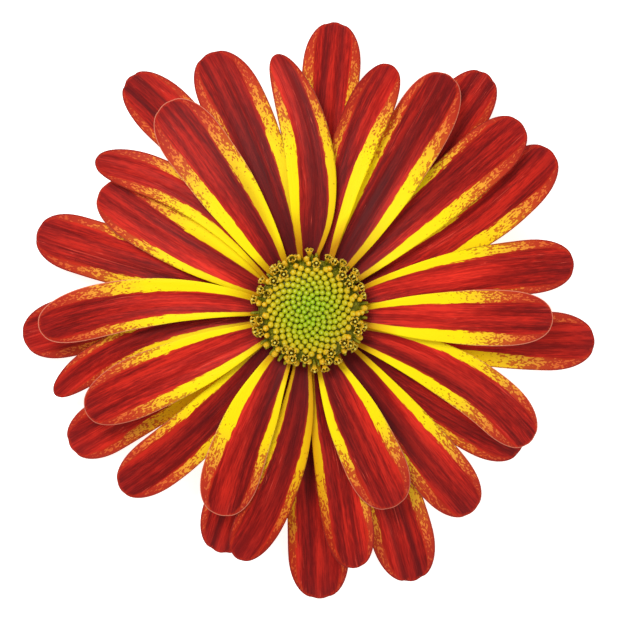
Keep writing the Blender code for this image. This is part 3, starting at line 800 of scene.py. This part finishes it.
def disc_material():
    """Waxy florets, green in the middle of the disc and yellow outward, with painted shade in their gaps and
    throats and a painted highlight on top of each.
    """
    n = Nodes("disc_florets_wax")
    radius, level, chance = n.attribute("disc_place")
    colour = n.ramp(n.math("DIVIDE", radius, DISC_COLOUR_REACH), DISC_STOPS)
    colour = n.mix(n.steps(chance, 0.0, 1.0, 0.0, 0.35), colour, DISC_OLIVE)
    # painted shade low in the gaps and in the throats, a painted highlight on the tops
    colour = n.mix(n.steps(level, 0.80, 0.20, 0.0, 0.92), colour, DISC_GAP_SHADE)
    colour = n.mix(n.steps(level, 0.0, -0.3), colour, DISC_THROAT_SHADE)
    colour = n.mix(n.steps(level, 0.965, 1.0, 0.0, 0.55), colour, DISC_HIGHLIGHT)
    fine = n.grain(5200.0, 2.0)
    colour = n.mix(n.steps(fine, 0.45, 0.75, 0.0, 0.3), colour, DISC_POLLEN)
    return n.finish(colour, 0.4, 0.14, fine, 0.00003, 0.4)


def build_core():
    """The dome that the florets stand on."""
    points, faces = lathe(CORE_PROFILE, CORE_SIDES)
    points = np.array(points)
    place = triples(np.hypot(points[:, 0], points[:, 1]), CORE_SHADE_LEVEL, 0.0)
    return smooth_mesh("disc_core", points, faces, (("disc_place", place),))


def on_dome(out, turn, aside=0.0, ahead=0.0):
    return (out * math.cos(turn) + aside, out * math.sin(turn) + ahead, dome_height(out) + ABOVE_DOME)


def build_buds(rng):
    """Closed buds on a sunflower spiral, as dense as their spacing asks."""
    buds = Bunch()
    reach = np.linspace(0.0, BUD_FIELD, 500)
    spacing = np.interp(reach, (0.0, BUD_FIELD), BUD_SPACING)
    inside = np.cumsum(2 * math.pi * reach * (reach[1] - reach[0]) / (BUD_PACKING * spacing ** 2))
    for i in range(int(inside[-1])):
        out = float(np.interp(i + 0.5, inside, reach))
        turn = i * GOLDEN_ANGLE
        grow = out / BUD_FIELD
        radius = BUD_RADIUS * float(np.interp(out, reach, spacing))
        form = bud_form(radius, 0.44 + 0.16 * grow, 0.03 + 0.06 * grow, 0.04 + 0.08 * grow)
        aside, ahead = rng.uniform(-BUD_JITTER, BUD_JITTER, 2)
        spot = on_dome(out, turn, aside, ahead)
        chance = rng.uniform(0.0, 1.0) ** 2
        buds.set_floret(form, spot, turn, math.radians(BUD_LEAN * out), out, chance)
    return buds.build("disc_buds", "disc_place")


def build_open_florets(rng):
    """Rounds of florets at the edge, open or still shut, and the green tubes under them."""
    opened = Bunch()
    for count, out_mean, lean, tall, closed in OPEN_ROUNDS:
        for k in range(count):
            out = out_mean + rng.uniform(*OPEN_OUT)
            turn = 2 * math.pi * (k + rng.uniform(*ROUND_STEP)) / count
            height = tall * rng.uniform(*OPEN_HEIGHT)
            angle = math.radians(lean + rng.uniform(*OPEN_LEAN))
            spot = on_dome(out, turn)
            chance = rng.uniform(0.0, 1.0)
            if rng.uniform() < closed:
                form = bud_form(rng.uniform(*SHUT_RADIUS), height * SHUT_HEIGHT, SHUT_LOBES, SHUT_DIMPLE)
                opened.set_floret(form, spot, turn, angle, SHUT_PLACE, chance * 0.5)
                continue
            form = open_form(OPEN_STEM, rng.uniform(*OPEN_MOUTH), height)
            opened.set_floret(form, spot, turn, angle, OPEN_PLACE, chance)
            if rng.uniform() < STYLE_SHARE:
                form = style_form(STYLE_RADIUS, height * STYLE_HEIGHT)
                opened.set_floret(form, spot, turn, angle, STYLE_PLACE, 0.0)

    count, out, lean, length, foot = FRINGE
    for k in range(count):
        turn = 2 * math.pi * (k + rng.uniform(*ROUND_STEP)) / count
        angle = math.radians(lean + rng.uniform(*FRINGE_LEAN))
        tall = length * rng.uniform(*FRINGE_LENGTH)
        points, faces, level = bud_form(FRINGE_RADIUS, tall, FRINGE_LOBES, FRINGE_DIMPLE)
        form = (points, faces, [FRINGE_LEVEL * value for value in level])
        spot = (out * math.cos(turn), out * math.sin(turn), foot)
        opened.set_floret(form, spot, turn, angle, FRINGE_PLACE, 1.0)
    return opened.build("disc_open", "disc_place")


def build_disc():
    rng = np.random.default_rng(DISC_SEED)
    material = disc_material()
    for piece in (build_core(), build_buds(rng), build_open_florets(rng)):
        piece.data.materials.append(material)
        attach(piece, "root")
        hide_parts("disc_florets")


def green_material():
    """Leafy green with dry brown bract edges and tips."""
    n = Nodes("involucre_leaf")
    run, edge, chance = n.attribute("leaf_place")
    patch = n.grain(420.0, 4.0)
    fine = n.grain(2600.0, 3.0)
    colour = n.ramp(patch, LEAF_STOPS)
    colour = n.mix(n.steps(fine, 0.5, 0.7, 0.0, 0.3), colour, LEAF_DOWN)
    colour = n.mix(n.steps(edge, 0.30, 0.02, 0.0, 0.85), colour, LEAF_EDGE)
    colour = n.mix(n.steps(run, 0.85, 1.0, 0.0, 0.6), colour, LEAF_TIP)
    colour = n.mix(n.steps(chance, 0.0, 1.0, 0.0, 0.35), colour, LEAF_DARK)
    return n.finish(colour, 0.62, 0.25, fine, 0.00005, 0.5)


def cut_material():
    """The cut end: pale pith in a greener ring."""
    n = Nodes("stem_cut")
    radius, _, _ = n.attribute("leaf_place")
    fine = n.grain(3600.0, 3.0)
    colour = n.ramp(radius, CUT_STOPS)
    colour = n.mix(n.steps(fine, 0.45, 0.7, 0.0, 0.35), colour, CUT_GRAIN)
    return n.finish(colour, 0.7, 0.2, fine, 0.00005, 0.6)


def seat_material():
    """The pale green receptacle between the rays."""
    n = Nodes("receptacle")
    fine = n.grain(1500.0, 3.0)
    return n.finish(n.ramp(fine, SEAT_STOPS), 0.65, 0.2, fine, 0.00005, 0.5)


def wall_point(share):
    """Radius and height at a share of the cup's wall, from its foot up."""
    lengths = [math.dist(a, b) for a, b in zip(CUP_WALL, CUP_WALL[1:])]
    left = share * sum(lengths)
    for (r0, z0), (r1, z1), length in zip(CUP_WALL, CUP_WALL[1:], lengths):
        if left <= length:
            break
        left -= length
    return r0 + (r1 - r0) * left / length, z0 + (z1 - z0) * left / length


def build_bracts():
    """Rounds of ribbed scales that overlap upward on the cup's wall."""
    rng = np.random.default_rng(BRACT_SEED)
    bracts = Bunch()
    faces = shell_faces(BRACT_ALONG, BRACT_ACROSS, mirrored=True)
    for count, low, high, width, stand, start in BRACT_ROUNDS:
        (r0, z0), (r1, z1) = wall_point(low), wall_point(high)
        out_r, out_z = (z1 - z0) / math.dist((r0, z0), (r1, z1)), (r0 - r1) / math.dist((r0, z0), (r1, z1))
        for k in range(count):
            turn = 2 * math.pi * (k + rng.uniform(*BRACT_STEP)) / count + math.radians(start)
            tilt = rng.uniform(*BRACT_STAND)
            above, below, where = [], [], []
            for i in range(BRACT_ALONG):
                t = i / (BRACT_ALONG - 1)
                broad = (1.0 - (t / 1.02) ** 3.0) ** 0.55 * (0.72 + 0.5 * t)
                radius, height = wall_point(low + (high - low) * t)
                for j in range(BRACT_ACROSS):
                    v = -1.0 + 2.0 * j / (BRACT_ACROSS - 1)
                    gap = (BRACT_FOOT + (stand * tilt - BRACT_FOOT) * t ** 1.2
                           - BRACT_WRAP * v * v * (1 - 0.5 * t))
                    ridge = RIDGE_HEIGHT * math.exp(-(v / RIDGE_WIDTH) ** 2)
                    bearing = turn + v * width / 2 * broad / radius
                    upper = BRACT_ABOVE * (1 - 0.7 * v * v) + ridge
                    for side, bag in ((upper, above), (BRACT_BELOW, below)):
                        r, h = radius + out_r * (gap + side), height + out_z * (gap + side)
                        bag.append((r * math.cos(bearing), r * math.sin(bearing), h))
                    where.append((t, (1.0 - abs(v)) * width / 2 * broad, rng.uniform(*BRACT_CHANCE)))
            bracts.add(np.array(above + below), faces, np.array(where + where))
    return bracts.build("bracts", "leaf_place")


def build_stub():
    """The ribbed stub, closed at its foot by the slightly uneven cut."""
    points, place = [], []
    for r, h in STUB_LEVELS:
        for a in turns(STUB_AROUND):
            rib = 1.0 + STUB_RIB_DEPTH * math.cos(STUB_RIBS * a) * (0.3 if h < 0.05 else 1.0)
            points.append((r * rib * math.cos(a), r * rib * math.sin(a), h))
            place.append((0.3, 1.0, 0.3))
    faces = ring_faces(len(STUB_LEVELS), STUB_AROUND) + top_face(len(STUB_LEVELS), STUB_AROUND)

    cut_from, base = len(faces), len(points)
    for i in range(1, CUT_RINGS):
        share = 1.0 - i / CUT_RINGS
        for x, y, _ in points[:STUB_AROUND]:
            points.append((x * share, y * share, CUT_RELIEF * math.sin(share * 9.0) ** 2 * share))
            place.append((share, 1.0, 0.3))
    points.append((0.0, 0.0, CUT_MIDDLE))
    place.append((0.0, 1.0, 0.3))
    rings = [0] + [base + i * STUB_AROUND for i in range(CUT_RINGS - 1)]
    for outer, inner in zip(rings, rings[1:]):
        for k in range(STUB_AROUND):
            n = (k + 1) % STUB_AROUND
            faces.append((outer + n, outer + k, inner + k, inner + n))
    faces += [(rings[-1] + (k + 1) % STUB_AROUND, rings[-1] + k, len(points) - 1) for k in range(STUB_AROUND)]
    return smooth_mesh("stem", points, faces, (("leaf_place", place),)), cut_from


def build_cup():
    leaf = green_material()
    points, faces = lathe(CUP_PROFILE, CUP_SIDES)
    place = np.tile((0.2, 1.0, 0.6), (len(points), 1))
    cup = smooth_mesh("cup", points, faces, (("leaf_place", place),))
    scales = build_bracts()
    stem, cut_from = build_stub()
    for piece in (cup, scales, stem):
        piece.data.materials.append(leaf)
        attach(piece, "root")
        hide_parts("involucre_stem")
    stem.data.materials.append(cut_material())
    for polygon in stem.data.polygons[cut_from:]:
        polygon.material_index = 1
        polygon.use_smooth = False


def build_rays():
    material = ray_material()
    for number, name in enumerate(RAYS):
        build_ray(number, name, material)
    points, faces = lathe(SEAT_PROFILE, SEAT_SIDES)
    seat = smooth_mesh("receptacle", points, faces)
    seat.data.materials.append(seat_material())
    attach(seat, "root")
    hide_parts("ray_florets")


def build_stage():
    """White floor, soft light from above and a long lens straight over the flower."""
    scene = bpy.context.scene
    mesh = bpy.data.meshes.new("floor")
    corners = [(x * FLOOR_HALF, y * FLOOR_HALF, 0) for x, y in ((-1, -1), (1, -1), (1, 1), (-1, 1))]
    mesh.from_pydata(corners, [], [(0, 1, 2, 3)])
    floor = bpy.data.objects.new("floor", mesh)
    scene.collection.objects.link(floor)
    n = Nodes("floor_white")
    n.shader.inputs["Emission Color"].default_value = WHITE
    n.shader.inputs["Emission Strength"].default_value = FLOOR_GLOW
    mesh.materials.append(n.finish(FLOOR_GREY, 0.9, 0.1))

    world = bpy.data.worlds.new("studio")
    world.use_nodes = True
    world.node_tree.nodes["Background"].inputs["Color"].default_value = WHITE
    world.node_tree.nodes["Background"].inputs["Strength"].default_value = SKY_STRENGTH
    scene.world = world

    for name, place, size, power in LAMPS:
        lamp = bpy.data.lights.new(name, "AREA")
        lamp.shape, lamp.size, lamp.energy = "DISK", size, power
        light = bpy.data.objects.new(name, lamp)
        light.location = place
        light.rotation_euler = (-Vector(place)).to_track_quat("-Z", "Y").to_euler()
        scene.collection.objects.link(light)

    lens = bpy.data.cameras.new("camera")
    lens.sensor_width = SENSOR
    lens.lens = SENSOR * CAMERA_HEIGHT / (PIXEL * PICTURE)
    lens.clip_start, lens.clip_end = 0.05, 20.0
    camera = bpy.data.objects.new("camera", lens)
    camera.location = (0.0, PIXEL * MM, (CAMERA_HEIGHT + PICTURE_PLANE) * MM)
    scene.collection.objects.link(camera)
    scene.camera = camera
    scene.view_settings.view_transform = "Standard"


build_rays()
build_disc()
build_cup()
build_stage()
